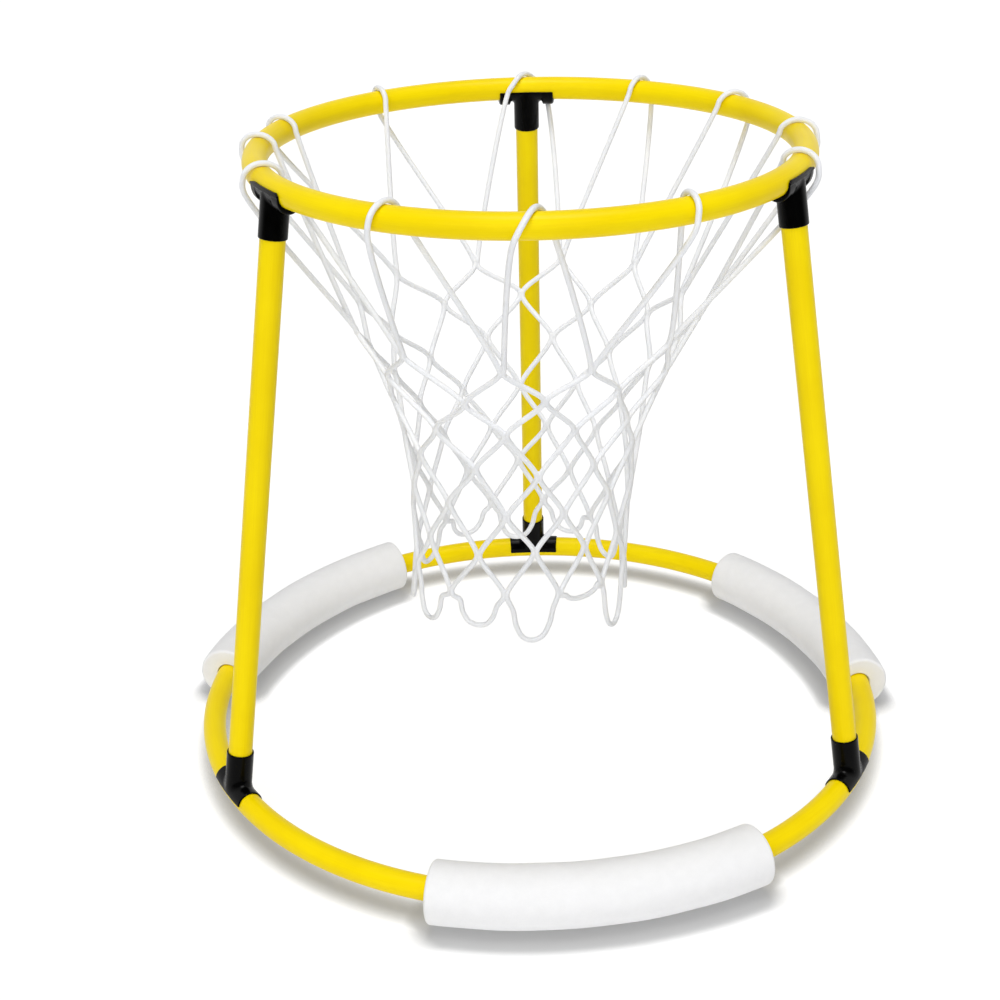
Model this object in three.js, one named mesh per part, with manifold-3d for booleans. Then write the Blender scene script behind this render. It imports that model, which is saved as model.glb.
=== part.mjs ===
// Poolside basketball hoop: a plastic tube rim on three leaning legs, a tube base ring
// with three foam floats that slide along it, saddle tees at every leg end, and a cord net.
// Millimetres, +Z up. The origin is on the floor under the middle of the footprint.
// The front of the hoop faces -Y.
import * as THREE from 'three';
import { mergeVertices } from 'three/addons/utils/BufferGeometryUtils.js';
import Module from 'manifold-3d';

const wasm = await Module();
wasm.setup();

// Driving dimensions
const tubeDiameter = 25;
const tubeWall = 2;
const rimRadius = 272.5;
const baseRadius = 371;
const ringHeight = 638;
const floatDiameter = 64;
const floatLengths = { front: 334, left: 338, right: 304 };
const floatBendRadius = 440;
const cordDiameter = 5.6;
const netDrop = 503;
const netWaistRadius = 117;
const netSwing = 20;

// Clearances and cutting overrun
const fitClearance = 0.4;
const faceGap = 0.3;
const seamGap = 0.4;
const cutOverrun = 6;
const weldDistance = 0.0004;

// Tee sizes: a saddle that grips a ring and a socket that holds a leg
const teeWall = 1.3;
const teeLength = 63;
const teeSeatWeb = 2.2;
const rimSocketReach = 47;
const baseSocketReach = 48;
const rimFillet = 3.5;
const baseFillet = 7;
const socketMouthRounding = 1;
const lobeLength = 12;
const lobeDrop = 4;
const lobeBlend = 2;
const lipReach = degrees(91);

// The raised lip of a front rim tee: a flat, thicker tab on the outward side
const raisedLipHeight = 5.5;
const raisedLipWall = 2.6;
const raisedLipOverhang = 5;
const raisedLipBlend = 1.6;
const raisedLipStart = degrees(50);
const raisedLipFull = degrees(75);

// Joint plugs inside the two rings
const plugLength = 60;

// Foam float sizes
const floatBoreClearance = 0.9;
const floatEdge = 2.5;

// Places round the rings, counted from +X towards +Y
const legAngles = { back: degrees(89.2), left: degrees(208.8), right: degrees(330.8) };
const floatAngles = { front: degrees(277.9), left: degrees(144.8), right: degrees(23.8) };
const rimSeamAngle = legAngles.back;
const baseSeamAngle = floatAngles.front;

// Net sizes
const loopCount = 12;
const nodeLength = 8;
const nodeGap = 0.5;
const rowUnevenness = 4;
const waveColumnStep = 2.1;
const waveRowStep = 1.7;
const loopSideClearance = 3.2;
const loopUnderClearance = 6.5;
const loopSpread = 5;
const slantedSpread = 13;
const slantedLoop = 9;
const straddleSpread = 18;
const rowDepthShares = [0.338, 0.42, 0.505, 0.6, 0.696, 0.792, 0.89];
const rowFlareShares = [0.405, 0.277, 0.15, 0.065, 0.025, 0, 0];
const rowLeanShares = [0.6, 0.4, 0.2, 0.1, 0, 0, 0];
const loopLeanShares = [0.15, 0.16, 0.05, 0, 0.2, 0.33, -0.13, 0, 0.03, -0.02, -0.01, 0];
const columnDriftShares = [0, 0, 0, 0, 0, 0, 0.05, 0.12, 0.22, 0.2, 0.12, 0];
const hemDropShares = [0.9, 0.8, 0.6, 0.85, 0.6, 0.8, 0.95, 0.88, 0.65, 0.92, 0.2, 1.2];
const hemWidthShares = [0.7, 0.57, 0.32];
const hemDepthShares = [0.3, 0.66, 0.93];
const hemFlareShare = 0.01;

// Facet counts
const ringSteps = 72;
const tubeSides = 12;
const tubeBoreSides = 6;
const legSides = 16;
const floatSides = 16;
const floatSteps = 11;
const saddlePoints = 9;
const cordSides = 5;
const filletSteps = 3;
const filletSlices = 7;

// Runs of one cord this close in order join each other and are not measured against each other
const joinedRuns = 4;

// Sizes that follow from the ones above
const turn = 2 * Math.PI;
const tubeRadius = tubeDiameter / 2;
const tubeBoreRadius = tubeRadius - tubeWall;
const floatRadius = floatDiameter / 2;
const baseHeight = floatRadius;
const rimHeight = baseHeight + ringHeight;
const legSpread = baseRadius - rimRadius;
const legTilt = Math.atan2(legSpread, ringHeight);
const legSpan = Math.hypot(legSpread, ringHeight);
const teeBoreRadius = tubeRadius + fitClearance;
const teeRadius = teeBoreRadius + teeWall;
const socketStart = Math.max(0, teeRadius * Math.cos(lipReach));
const seatDepth = teeBoreRadius + teeSeatWeb;
const cordRadius = cordDiameter / 2;
const loopPitch = turn / loopCount;
const hemTop = netDrop * rowDepthShares[rowDepthShares.length - 1];

function degrees(value) {
  return THREE.MathUtils.degToRad(value);
}

// Materials
const yellowPlastic = new THREE.MeshStandardMaterial({ color: 0xf5d707, roughness: 0.34 });
const blackPlastic = new THREE.MeshStandardMaterial({ color: 0x0b0b0b, roughness: 0.38 });
const whiteFoam = new THREE.MeshStandardMaterial({ color: 0xf0f0ee, roughness: 0.9 });
const whiteCord = new THREE.MeshStandardMaterial({ color: 0xeeeeec, roughness: 0.75 });

// A closed mesh goes into the solid modeller as bare, welded triangles
function toSolid(geometry) {
  const bare = new THREE.BufferGeometry();
  bare.setAttribute('position', geometry.attributes.position);
  bare.setIndex(geometry.index);
  const welded = mergeVertices(bare, weldDistance);
  const vertProperties = new Float32Array(welded.attributes.position.array);
  const triVerts = new Uint32Array(welded.index.array);
  return new wasm.Manifold(new wasm.Mesh({ numProp: 3, vertProperties, triVerts }));
}

function toGeometry(solid) {
  const mesh = solid.getMesh();
  const geometry = new THREE.BufferGeometry();
  geometry.setAttribute('position', new THREE.BufferAttribute(mesh.vertProperties, 3));
  geometry.setIndex(new THREE.BufferAttribute(mesh.triVerts, 1));
  geometry.computeVertexNormals();
  return geometry;
}

// A regular polygon whose corners lie on a circle, with flats facing down
function roundOutline(radius, sides) {
  const corner = (i) => turn * ((i + 0.5) / sides) - turn / 4;
  const place = (angle) => new THREE.Vector2(radius * Math.cos(angle), radius * Math.sin(angle));
  return Array.from({ length: sides }, (_, i) => place(corner(i)));
}

// An arc of a level ring round the Z axis
class RingArc extends THREE.Curve {
  constructor(radius, from, to) {
    super();
    Object.assign(this, { radius, from, to });
  }

  getPoint(t, target = new THREE.Vector3()) {
    const angle = THREE.MathUtils.lerp(this.from, this.to, t);
    return target.set(this.radius * Math.cos(angle), this.radius * Math.sin(angle), 0);
  }
}

// Sweeps an outline, drawn as (outward, up), along a ring's arc
function sweepAlongRing(outline, holes, arc, steps) {
  const turned = (points) => points.map(({ x, y }) => new THREE.Vector2(-y, -x));
  const section = new THREE.Shape(turned(outline));
  section.holes = holes.map((hole) => new THREE.Path(turned(hole).toReversed()));
  return new THREE.ExtrudeGeometry(section, { steps, extrudePath: arc });
}

// Joins rings of points into a skin: closed on itself, or with a flat cap at each end
function skin(rings, closed, capOutline = null) {
  const count = rings[0].length;
  const positions = rings.flat().flatMap((point) => point.toArray());
  const triangles = [];
  const spans = closed ? rings.length : rings.length - 1;
  for (let i = 0; i < spans; i += 1) {
    const here = i * count;
    const next = ((i + 1) % rings.length) * count;
    for (let j = 0; j < count; j += 1) {
      const k = (j + 1) % count;
      triangles.push(here + j, here + k, next + k, here + j, next + k, next + j);
    }
  }
  if (capOutline) {
    const last = (rings.length - 1) * count;
    const mirrored = THREE.ShapeUtils.isClockWise(capOutline);
    THREE.ShapeUtils.triangulateShape(capOutline, []).forEach((corners) => {
      const [a, b, c] = mirrored ? corners.toReversed() : corners;
      triangles.push(a, c, b, last + a, last + b, last + c);
    });
  }
  const geometry = new THREE.BufferGeometry();
  geometry.setAttribute('position', new THREE.Float32BufferAttribute(positions, 3));
  geometry.setIndex(triangles);
  geometry.computeVertexNormals();
  return geometry;
}

// A point beside a ring's centre line: outward and up from it, at an angle round the ring
function besideRing(ringRadius, angle, outward, up) {
  const radius = ringRadius + outward;
  return new THREE.Vector3(radius * Math.cos(angle), radius * Math.sin(angle), up);
}

// Hollow ring tube with one butt seam
function ringTube(radius, seamAngle) {
  const halfSeam = seamGap / 2 / radius;
  const arc = new RingArc(radius, seamAngle + halfSeam, seamAngle + turn - halfSeam);
  const bore = roundOutline(tubeBoreRadius, tubeBoreSides);
  return sweepAlongRing(roundOutline(tubeRadius, tubeSides), [bore], arc, ringSteps);
}

// Curved plug that lines up the two ends of a ring tube at its seam
function jointPlug(radius, seamAngle) {
  const halfAngle = plugLength / 2 / radius;
  const steps = Math.ceil((2 * halfAngle) / (turn / ringSteps));
  const boreApothem = tubeBoreRadius * Math.cos(Math.PI / tubeBoreSides);
  const outline = roundOutline(boreApothem - fitClearance, tubeSides);
  const arc = new RingArc(radius, seamAngle - halfAngle, seamAngle + halfAngle);
  return sweepAlongRing(outline, [], arc, steps);
}

// Straight hollow leg, from its seat in the base tee to its seat in the rim tee
function legTube() {
  const section = new THREE.Shape(roundOutline(tubeRadius, legSides));
  section.holes = [new THREE.Path(roundOutline(tubeBoreRadius, legSides))];
  const depth = legSpan - 2 * (seatDepth + faceGap);
  const geometry = new THREE.ExtrudeGeometry(section, { depth, bevelEnabled: false });
  return geometry.translate(0, 0, seatDepth + faceGap);
}

// How far a wing swells into its lobe, 0 to 1, at a distance along the tee
function lobeShare(along) {
  const half = teeLength / 2;
  const lobeStart = half - lobeLength;
  const rise = THREE.MathUtils.smoothstep(Math.abs(along), lobeStart - lobeBlend, lobeStart);
  const fall = THREE.MathUtils.smoothstep(Math.abs(along), half - lobeBlend, half + lobeBlend);
  return rise * (1 - fall);
}

// How far the outward lip is raised, 0 to 1: from the side named, across the middle
function raisedShare(along, raisedSide) {
  if (raisedSide === 0) return 0;
  const past = -raisedSide * along;
  return 1 - THREE.MathUtils.smoothstep(past, raisedLipOverhang, raisedLipOverhang + raisedLipBlend);
}

// How far the saddle's wall has thickened into the raised lip, 0 to 1
function tabShare(reach, raised) {
  return raised * THREE.MathUtils.smoothstep(reach, raisedLipStart, raisedLipFull);
}

// Saddle before its bore is cut: a D section whose ends can swell into lobes, with one lip
// raised or none
function saddleBlank(ringRadius, axisAngle, { lobe, raisedSide }) {
  const half = teeLength / 2;
  const lobeStart = half - lobeLength;
  const wing = [lobeStart - lobeBlend, lobeStart, half - lobeBlend, half];
  const step = [raisedLipOverhang, raisedLipOverhang + raisedLipBlend].map((past) => -raisedSide * past);
  const middle = raisedSide === 0 ? [0] : step;
  const stations = [...wing.map((along) => -along), ...middle, ...wing].sort((a, b) => a - b);
  const raisedReach = raisedLipHeight / teeRadius;
  const sectionAt = (along) => Array.from({ length: saddlePoints }, (_, i) => {
    // The outward lip of a rim tee is the last point of the arc
    const lastReach = lipReach + raisedReach * raisedShare(along, raisedSide);
    const reach = THREE.MathUtils.lerp(-lipReach, lastReach, i / (saddlePoints - 1));
    const swell = lobe * lobeShare(along) * Math.max(0, Math.cos(reach)) ** 2;
    const tab = (raisedLipWall - teeWall) * tabShare(reach, raisedShare(along, raisedSide));
    const radius = teeRadius + swell + tab;
    const angle = axisAngle + reach;
    return new THREE.Vector2(radius * Math.cos(angle), radius * Math.sin(angle));
  });
  const place = (along) => ({ x, y }) => besideRing(ringRadius, along / ringRadius, x, y);
  const rings = stations.map((along) => sectionAt(along).map(place(along)).reverse());
  return skin(rings, false, sectionAt(half).reverse());
}

// Socket before its bore is cut: a round boss with a rounded mouth, from the ring's centre out
function socketBlank(reach) {
  const profile = [
    new THREE.Vector2(0, socketStart),
    new THREE.Vector2(teeRadius, socketStart),
    new THREE.Vector2(teeRadius, reach - socketMouthRounding),
    new THREE.Vector2(teeRadius - socketMouthRounding, reach),
    new THREE.Vector2(0, reach),
  ];
  return toSolid(new THREE.LatheGeometry(profile, legSides).rotateX(turn / 4));
}

// Fillet between socket and saddle, as slices across the tee. Both are round with one radius,
// so the corner it fills lies at one height and reach, and shrinks to nothing at the flanks.
function filletBlank(fillet) {
  const outlineAt = (slice) => {
    const corner = teeRadius * Math.sin(slice);
    const size = fillet * Math.sin(slice);
    const arc = Array.from({ length: filletSteps + 1 }, (_, i) => {
      const angle = (turn / 4) * (i / filletSteps);
      const place = (share) => corner + size * (1 - share);
      return new THREE.Vector2(place(Math.sin(angle)), place(Math.cos(angle)));
    });
    const mirrored = arc.toReversed().map(({ x, y }) => new THREE.Vector2(-x, y));
    const foot = corner + size;
    const flat = [new THREE.Vector2(-foot, socketStart), new THREE.Vector2(foot, socketStart)];
    return [...flat, ...arc, ...mirrored].reverse();
  };
  const share = (i) => (i + 1) / (filletSlices + 1);
  const slices = Array.from({ length: filletSlices }, (_, i) => (turn / 2) * share(i));
  const place = (slice) => ({ x, y }) => new THREE.Vector3(teeRadius * Math.cos(slice), x, y);
  const rings = slices.map((slice) => outlineAt(slice).map(place(slice)));
  return toSolid(skin(rings, false, outlineAt(slices[0])));
}

// Round bore for a leg, along the leg axis from its seat out past the mouth
function legBoreBlank(reach) {
  const section = new THREE.Shape(roundOutline(teeBoreRadius, legSides));
  const depth = reach - seatDepth + cutOverrun;
  const bore = new THREE.ExtrudeGeometry(section, { depth, bevelEnabled: false });
  return toSolid(bore.translate(0, 0, seatDepth));
}

// Bore for the ring itself, along the ring past both ends of the tee
function ringBoreBlank(ringRadius) {
  const half = (teeLength / 2 + cutOverrun) / ringRadius;
  const steps = Math.ceil((2 * half) / (turn / ringSteps));
  const outline = roundOutline(teeBoreRadius / Math.cos(Math.PI / legSides), legSides);
  return toSolid(sweepAlongRing(outline, [], new RingArc(ringRadius, -half, half), steps));
}

// One tee, round a ring in the XY plane at angle zero, with its leg axis in the XZ plane
function teeGeometry(ringRadius, legDirection, { reach, fillet, ...ends }) {
  const legAxis = new THREE.Vector3(Math.sin(legTilt), 0, -Math.cos(legTilt));
  legAxis.multiplyScalar(legDirection);
  const place = new THREE.Matrix4().makeRotationY(Math.atan2(legAxis.x, legAxis.z));
  place.setPosition(ringRadius, 0, 0);
  const socket = socketBlank(reach).add(filletBlank(fillet)).subtract(legBoreBlank(reach));
  const placedSocket = toSolid(toGeometry(socket).applyMatrix4(place));
  const saddle = toSolid(saddleBlank(ringRadius, Math.atan2(legAxis.z, legAxis.x), ends));
  return toGeometry(saddle.add(placedSocket).subtract(ringBoreBlank(ringRadius)));
}

// How far an arc with a given half chord stands out from that chord
function arcRise(radius, halfChord) {
  return radius - Math.sqrt(radius ** 2 - halfChord ** 2);
}

// Foam sleeve with rounded end edges, centred on angle zero of the base ring. Its bore follows
// the ring, but the foam bends less: its middle lies inward of the ring as far as its ends lie
// outward.
function floatSleeve(length) {
  const half = length / 2;
  const halfChord = floatBendRadius * Math.sin(half / floatBendRadius);
  const riseApart = arcRise(baseRadius, halfChord) - arcRise(floatBendRadius, halfChord);
  const bendCentre = baseRadius - riseApart / 2 - floatBendRadius;
  const outerRadius = floatRadius / Math.cos(Math.PI / floatSides);
  const boreRadius = tubeRadius + floatBoreClearance;
  const flat = half - floatEdge;
  const along = (i) => THREE.MathUtils.lerp(-flat, flat, i / floatSteps);
  const between = Array.from({ length: floatSteps + 1 }, (_, i) => along(i));
  const middleAt = (s) => besideRing(floatBendRadius, s / floatBendRadius, 0, 0).setX(
    bendCentre + floatBendRadius * Math.cos(s / floatBendRadius),
  );
  const foamRing = (s, radius) => roundOutline(radius, floatSides).map(({ x, y }) => {
    const point = besideRing(floatBendRadius, s / floatBendRadius, x, y);
    return point.setX(point.x + bendCentre);
  });
  const boreRing = (s) => {
    const { x, y } = middleAt(s);
    const angle = Math.atan2(y, x);
    return roundOutline(boreRadius, floatSides).map((p) => besideRing(baseRadius, angle, p.x, p.y));
  };
  const outer = [
    foamRing(-half, outerRadius - floatEdge),
    ...between.map((s) => foamRing(s, outerRadius)),
    foamRing(half, outerRadius - floatEdge),
  ];
  const bore = [half, ...between.toReversed(), -half].map(boreRing);
  return skin([...outer, ...bore].map((ring) => ring.reverse()), true);
}

// A closed polyline that serves its own points as stations
class CordRoute extends THREE.Curve {
  constructor(points) {
    super();
    this.points = points;
  }

  station(index) {
    const count = this.points.length;
    return this.points[((index % count) + count) % count];
  }

  getPointAt(u, target = new THREE.Vector3()) {
    return target.copy(this.station(Math.round(u * this.points.length)));
  }

  getTangentAt(u, target = new THREE.Vector3()) {
    const index = Math.round(u * this.points.length);
    const before = this.station(index).clone().sub(this.station(index - 1)).normalize();
    const after = this.station(index + 1).clone().sub(this.station(index)).normalize();
    return target.copy(before).add(after).normalize();
  }
}

// Round cord along a closed route
function cordGeometry(points) {
  const { normals, binormals } = new CordRoute(points).computeFrenetFrames(points.length, true);
  const ringAt = (centre, i) => Array.from({ length: cordSides }, (_, j) => {
    const angle = (turn * j) / cordSides;
    return centre.clone()
      .addScaledVector(normals[i], cordRadius * Math.cos(angle))
      .addScaledVector(binormals[i], cordRadius * Math.sin(angle));
  });
  return skin(points.map(ringAt), true);
}

// Where each net loop sits on the rim: beside a tee, astride the back one, or free
const teeAngles = Object.values(legAngles);
const besideTee = (teeLength / 2 + cordDiameter + faceGap) / rimRadius;
const loopAngles = loopLeanShares.map((lean, k) => {
  const angle = k * loopPitch;
  const nearest = (tee) => Math.abs(angle - tee) < loopPitch / 2;
  if (nearest(legAngles.left)) return legAngles.left - besideTee;
  if (nearest(legAngles.right)) return legAngles.right + besideTee;
  return angle + lean * loopPitch;
});

const isStraddling = (k) => teeAngles.some((tee) => Math.abs(loopAngles[k] - tee) < besideTee / 2);
const leanOf = (column) => {
  const k = (column + loopCount) % loopCount;
  return loopAngles[k] - k * loopPitch;
};

// The net's radius at a depth under the rim's centre line
function netRadius(depth) {
  const depths = [0, ...rowDepthShares, 1].map((share) => share * netDrop);
  const flares = [1, ...rowFlareShares, hemFlareShare];
  const passed = depths.filter((d) => d <= depth).length - 1;
  const i = THREE.MathUtils.clamp(passed, 0, depths.length - 2);
  const share = (depth - depths[i]) / (depths[i + 1] - depths[i]);
  const flare = THREE.MathUtils.lerp(flares[i], flares[i + 1], share);
  return netWaistRadius + (rimRadius - netWaistRadius) * flare;
}

// A point on the net, which hangs a little to the left towards its hem
function netPoint(angle, depth) {
  const point = besideRing(netRadius(depth), angle, 0, -depth);
  return point.setX(point.x - netSwing * (depth / netDrop));
}

// The mean of a value over a column and the next one
const meanBetween = (value, column) => (value(column) + value(column + 1)) / 2;
const driftOf = (column) => columnDriftShares[(column + loopCount) % loopCount] * loopPitch;

// Knots lie between two columns on even rows and on a column's own line on odd rows
function knotAngle(row, column) {
  if (row % 2 === 1) return column * loopPitch + driftOf(column) + leanOf(column) * rowLeanShares[row];
  const lean = meanBetween(leanOf, column) * rowLeanShares[row];
  return (column + 0.5) * loopPitch + meanBetween(driftOf, column) + lean;
}

function knotDepth(row, column) {
  const place = ((column + loopCount) % loopCount) + 1;
  const wave = Math.sin(waveColumnStep * place + waveRowStep * row);
  return netDrop * rowDepthShares[row] + rowUnevenness * wave;
}

// One side of a column, from the top knot to the lowest: side is -1 or +1
function columnSide(k, side) {
  return rowDepthShares.flatMap((_, row) => {
    const between = row % 2 === 0;
    const column = between && side < 0 ? k - 1 : k;
    const depth = knotDepth(row, column);
    const inset = ((cordDiameter + nodeGap) / 2) * (between ? -side : side);
    const angle = knotAngle(row, column) + inset / netRadius(depth);
    return [netPoint(angle, depth - nodeLength / 2), netPoint(angle, depth + nodeLength / 2)];
  });
}

// The loop over the rim, from its outer foot to its inner foot
function rimLoop(k) {
  const over = tubeRadius + cordRadius + fitClearance;
  const beside = tubeRadius + loopSideClearance + cordRadius;
  const under = tubeRadius + loopUnderClearance + cordRadius;
  const freeSpread = k === slantedLoop ? slantedSpread : loopSpread;
  const spread = (isStraddling(k) ? straddleSpread : freeSpread) / rimRadius;
  const wrapShares = [-0.4, 0, 1 / 3, 2 / 3, 1, 4 / 3, 5 / 3, 2];
  return wrapShares.map((share) => {
    const wrap = share * (turn / 4);
    const angle = loopAngles[k] + spread * (share - 1);
    const reach = share < 0 ? under : beside;
    const lift = share < 0 ? under : over;
    return besideRing(rimRadius, angle, reach * Math.cos(wrap), lift * Math.sin(wrap));
  });
}

// The hanging loop at the bottom, from the low-angle side to the high-angle side
function hemLoop(k) {
  const bottom = THREE.MathUtils.lerp(hemTop, netDrop, hemDropShares[k]);
  const middle = k * loopPitch + driftOf(k);
  const point = (widthShare, depthShare) => netPoint(
    middle + (widthShare * loopPitch) / 2,
    THREE.MathUtils.lerp(hemTop, bottom, depthShare),
  );
  const low = hemWidthShares.map((share, i) => point(-share, hemDepthShares[i]));
  const high = hemWidthShares.map((share, i) => point(share, hemDepthShares[i]));
  return [...low, point(0, 1), ...high.toReversed()];
}

function cordRoute(k) {
  const loop = rimLoop(k).toReversed();
  return [...loop, ...columnSide(k, -1), ...hemLoop(k), ...columnSide(k, 1).toReversed()];
}

// Least gap between cord surfaces, measured on points along every pair of nearby runs
function leastNetGap(routes) {
  const runs = routes.flatMap((points, cord) => points.map((point, i) => ({
    cord,
    i,
    line: new THREE.Line3(point, points[(i + 1) % points.length]),
  })));
  const sharesAlong = [0, 0.25, 0.5, 0.75];
  const nearest = new THREE.Vector3();
  const sample = new THREE.Vector3();
  let least = Infinity;
  runs.forEach((run) => {
    const count = routes[run.cord].length;
    runs.forEach((other) => {
      const apart = Math.abs(run.i - other.i);
      if (run.cord === other.cord && Math.min(apart, count - apart) < joinedRuns) return;
      sharesAlong.forEach((share) => {
        run.line.at(share, sample);
        other.line.closestPointToPoint(sample, true, nearest);
        least = Math.min(least, sample.distanceTo(nearest) - cordDiameter);
      });
    });
  });
  return least;
}

function named(name, geometry, material) {
  const mesh = new THREE.Mesh(geometry, material);
  mesh.name = name;
  return mesh;
}

// Pieces
const hoop = new THREE.Group();
const rimLevel = new THREE.Group();
rimLevel.position.z = rimHeight;
const baseLevel = new THREE.Group();
baseLevel.position.z = baseHeight;
hoop.add(rimLevel, baseLevel);

rimLevel.add(named('rim_tube', ringTube(rimRadius, rimSeamAngle), yellowPlastic));
rimLevel.add(named('rim_joint_plug', jointPlug(rimRadius, rimSeamAngle), blackPlastic));
baseLevel.add(named('base_ring_tube', ringTube(baseRadius, baseSeamAngle), yellowPlastic));
baseLevel.add(named('base_joint_plug', jointPlug(baseRadius, baseSeamAngle), blackPlastic));

// The raised lip lies on the far half of the two front rim tees
const raisedLipSides = { back: 0, left: -1, right: 1 };
Object.entries(legAngles).forEach(([place, angle]) => {
  const raisedSide = raisedLipSides[place];
  const rimShape = { reach: rimSocketReach, fillet: rimFillet, lobe: lobeDrop, raisedSide };
  const rimTeeShape = teeGeometry(rimRadius, 1, rimShape);
  const rimTee = named(`rim_tee_${place}`, rimTeeShape, blackPlastic);
  rimTee.rotation.z = angle;
  rimLevel.add(rimTee);
  const baseShape = { reach: baseSocketReach, fillet: baseFillet, lobe: 0, raisedSide: 0 };
  const baseTeeShape = teeGeometry(baseRadius, -1, baseShape);
  const baseTee = named(`base_tee_${place}`, baseTeeShape, blackPlastic);
  baseTee.rotation.z = angle;
  baseLevel.add(baseTee);
  const legStand = new THREE.Group();
  legStand.rotation.z = angle;
  const leg = named(`leg_${place}`, legTube(), yellowPlastic);
  leg.position.x = baseRadius;
  leg.rotation.y = -legTilt;
  legStand.add(leg);
  baseLevel.add(legStand);
});

Object.entries(floatAngles).forEach(([place, angle]) => {
  const sleeve = named(`float_${place}`, floatSleeve(floatLengths[place]), whiteFoam);
  sleeve.rotation.z = angle;
  baseLevel.add(sleeve);
});

const cordRoutes = loopAngles.map((_, k) => cordRoute(k));
cordRoutes.forEach((route, k) => {
  const number = String(k + 1).padStart(2, '0');
  rimLevel.add(named(`net_cord_${number}`, cordGeometry(route), whiteCord));
});
console.log(`Least gap between net cords: ${leastNetGap(cordRoutes).toFixed(2)} mm`);

// The origin goes under the middle of the footprint
const footprint = new THREE.Box3().setFromObject(hoop, true).getCenter(new THREE.Vector3());
hoop.position.set(-footprint.x, -footprint.y, 0);
console.log(`Middle of the rings: x ${hoop.position.x.toFixed(2)}, y ${hoop.position.y.toFixed(2)} mm`);

export default hoop;
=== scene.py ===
"""Looks of a poolside basketball hoop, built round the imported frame.

Metres, +Z up. The origin is on the floor under the middle of the footprint, the front faces -Y.
"""

import math

import bpy
import numpy as np
from mathutils import Matrix, Vector, kdtree


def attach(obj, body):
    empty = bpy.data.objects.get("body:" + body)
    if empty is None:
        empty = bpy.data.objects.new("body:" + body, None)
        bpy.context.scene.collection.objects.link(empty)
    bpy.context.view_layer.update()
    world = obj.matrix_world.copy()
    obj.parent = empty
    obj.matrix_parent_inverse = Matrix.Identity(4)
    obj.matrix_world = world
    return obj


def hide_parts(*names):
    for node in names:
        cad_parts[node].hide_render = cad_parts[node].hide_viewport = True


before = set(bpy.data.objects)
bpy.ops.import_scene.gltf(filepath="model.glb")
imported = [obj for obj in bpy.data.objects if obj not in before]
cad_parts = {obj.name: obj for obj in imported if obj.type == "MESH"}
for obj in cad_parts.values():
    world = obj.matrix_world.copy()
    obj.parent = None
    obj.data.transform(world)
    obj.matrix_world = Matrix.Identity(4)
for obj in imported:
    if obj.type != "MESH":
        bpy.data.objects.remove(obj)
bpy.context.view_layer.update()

# Sizes of the model, in metres, as in the CAD source
TUBE_RADIUS = 0.0125
TUBE_WALL = 0.002
RIM_RADIUS = 0.2725
BASE_RADIUS = 0.371
RING_HEIGHT = 0.638
FLOAT_RADIUS = 0.032
FLOAT_LENGTHS = {"front": 0.334, "left": 0.338, "right": 0.304}
FLOAT_BEND = 0.440
FLOAT_EDGE = 0.0035
FLOAT_BORE = TUBE_RADIUS + 0.0009
FIT_GAP = 0.0004
FACE_GAP = 0.0003
TEE_BORE = TUBE_RADIUS + FIT_GAP
TEE_WALL = 0.0013
TEE_RADIUS = TEE_BORE + TEE_WALL
TEE_LENGTH = 0.063
TEE_SEAT = TEE_BORE + 0.0022
RIM_SOCKET = 0.047
BASE_SOCKET = 0.048
CORD_RADIUS = 0.0028

# Middle of the two rings, off the middle of the footprint
SHIFT_X, SHIFT_Y = -0.00264, 0.0076
BASE_LEVEL = FLOAT_RADIUS
RIM_LEVEL = BASE_LEVEL + RING_HEIGHT
LEG_TILT = math.atan2(BASE_RADIUS - RIM_RADIUS, RING_HEIGHT)
LEG_SPAN = math.hypot(BASE_RADIUS - RIM_RADIUS, RING_HEIGHT)

LEG_ANGLES = {"back": math.radians(89.2), "left": math.radians(208.8), "right": math.radians(330.8)}
FLOAT_ANGLES = {"front": math.radians(277.9), "left": math.radians(144.8), "right": math.radians(23.8)}

# Net routes, as in the CAD source
LOOPS = 12
SLANTED_LOOP = 9
PITCH = 2 * math.pi / LOOPS
NET_DROP = 0.503
WAIST_RADIUS = 0.117
NET_SWING = 0.020
NODE_LENGTH = 0.008
NODE_GAP = 0.0005
ROW_WAVE = 0.004
ROW_DEPTHS = [0.338, 0.42, 0.505, 0.6, 0.696, 0.792, 0.89]
ROW_FLARES = [0.405, 0.277, 0.15, 0.065, 0.025, 0, 0]
ROW_LEANS = [0.6, 0.4, 0.2, 0.1, 0, 0, 0]
LOOP_LEANS = [0.15, 0.16, 0.05, 0, 0.2, 0.33, -0.13, 0, 0.03, -0.02, -0.01, 0]
COLUMN_DRIFTS = [0, 0, 0, 0, 0, 0, 0.05, 0.12, 0.22, 0.2, 0.12, 0]
HEM_DROPS = [0.9, 0.8, 0.6, 0.85, 0.6, 0.8, 0.95, 0.88, 0.65, 0.92, 0.2, 1.2]
HEM_WIDTHS = [0.7, 0.57, 0.32]
HEM_DEPTHS = [0.3, 0.66, 0.93]
HEM_FLARE = 0.01
HEM_TOP = NET_DROP * ROW_DEPTHS[-1]
WAVE_COLUMN_STEP, WAVE_ROW_STEP = 2.1, 1.7
LOOP_SIDE_GAP, LOOP_UNDER_GAP = 0.0032, 0.0065
LOOP_SPREAD, SLANTED_SPREAD, ASTRIDE_SPREAD = 0.005, 0.013, 0.018
# Quarter turns round the rim at which a loop has a point
LOOP_SHARES = (-0.4, 0, 1 / 3, 2 / 3, 1, 4 / 3, 5 / 3, 2)
# Angle that a loop keeps from the middle of a side tee
BESIDE_TEE = (TEE_LENGTH / 2 + 2 * CORD_RADIUS + FACE_GAP) / RIM_RADIUS

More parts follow.
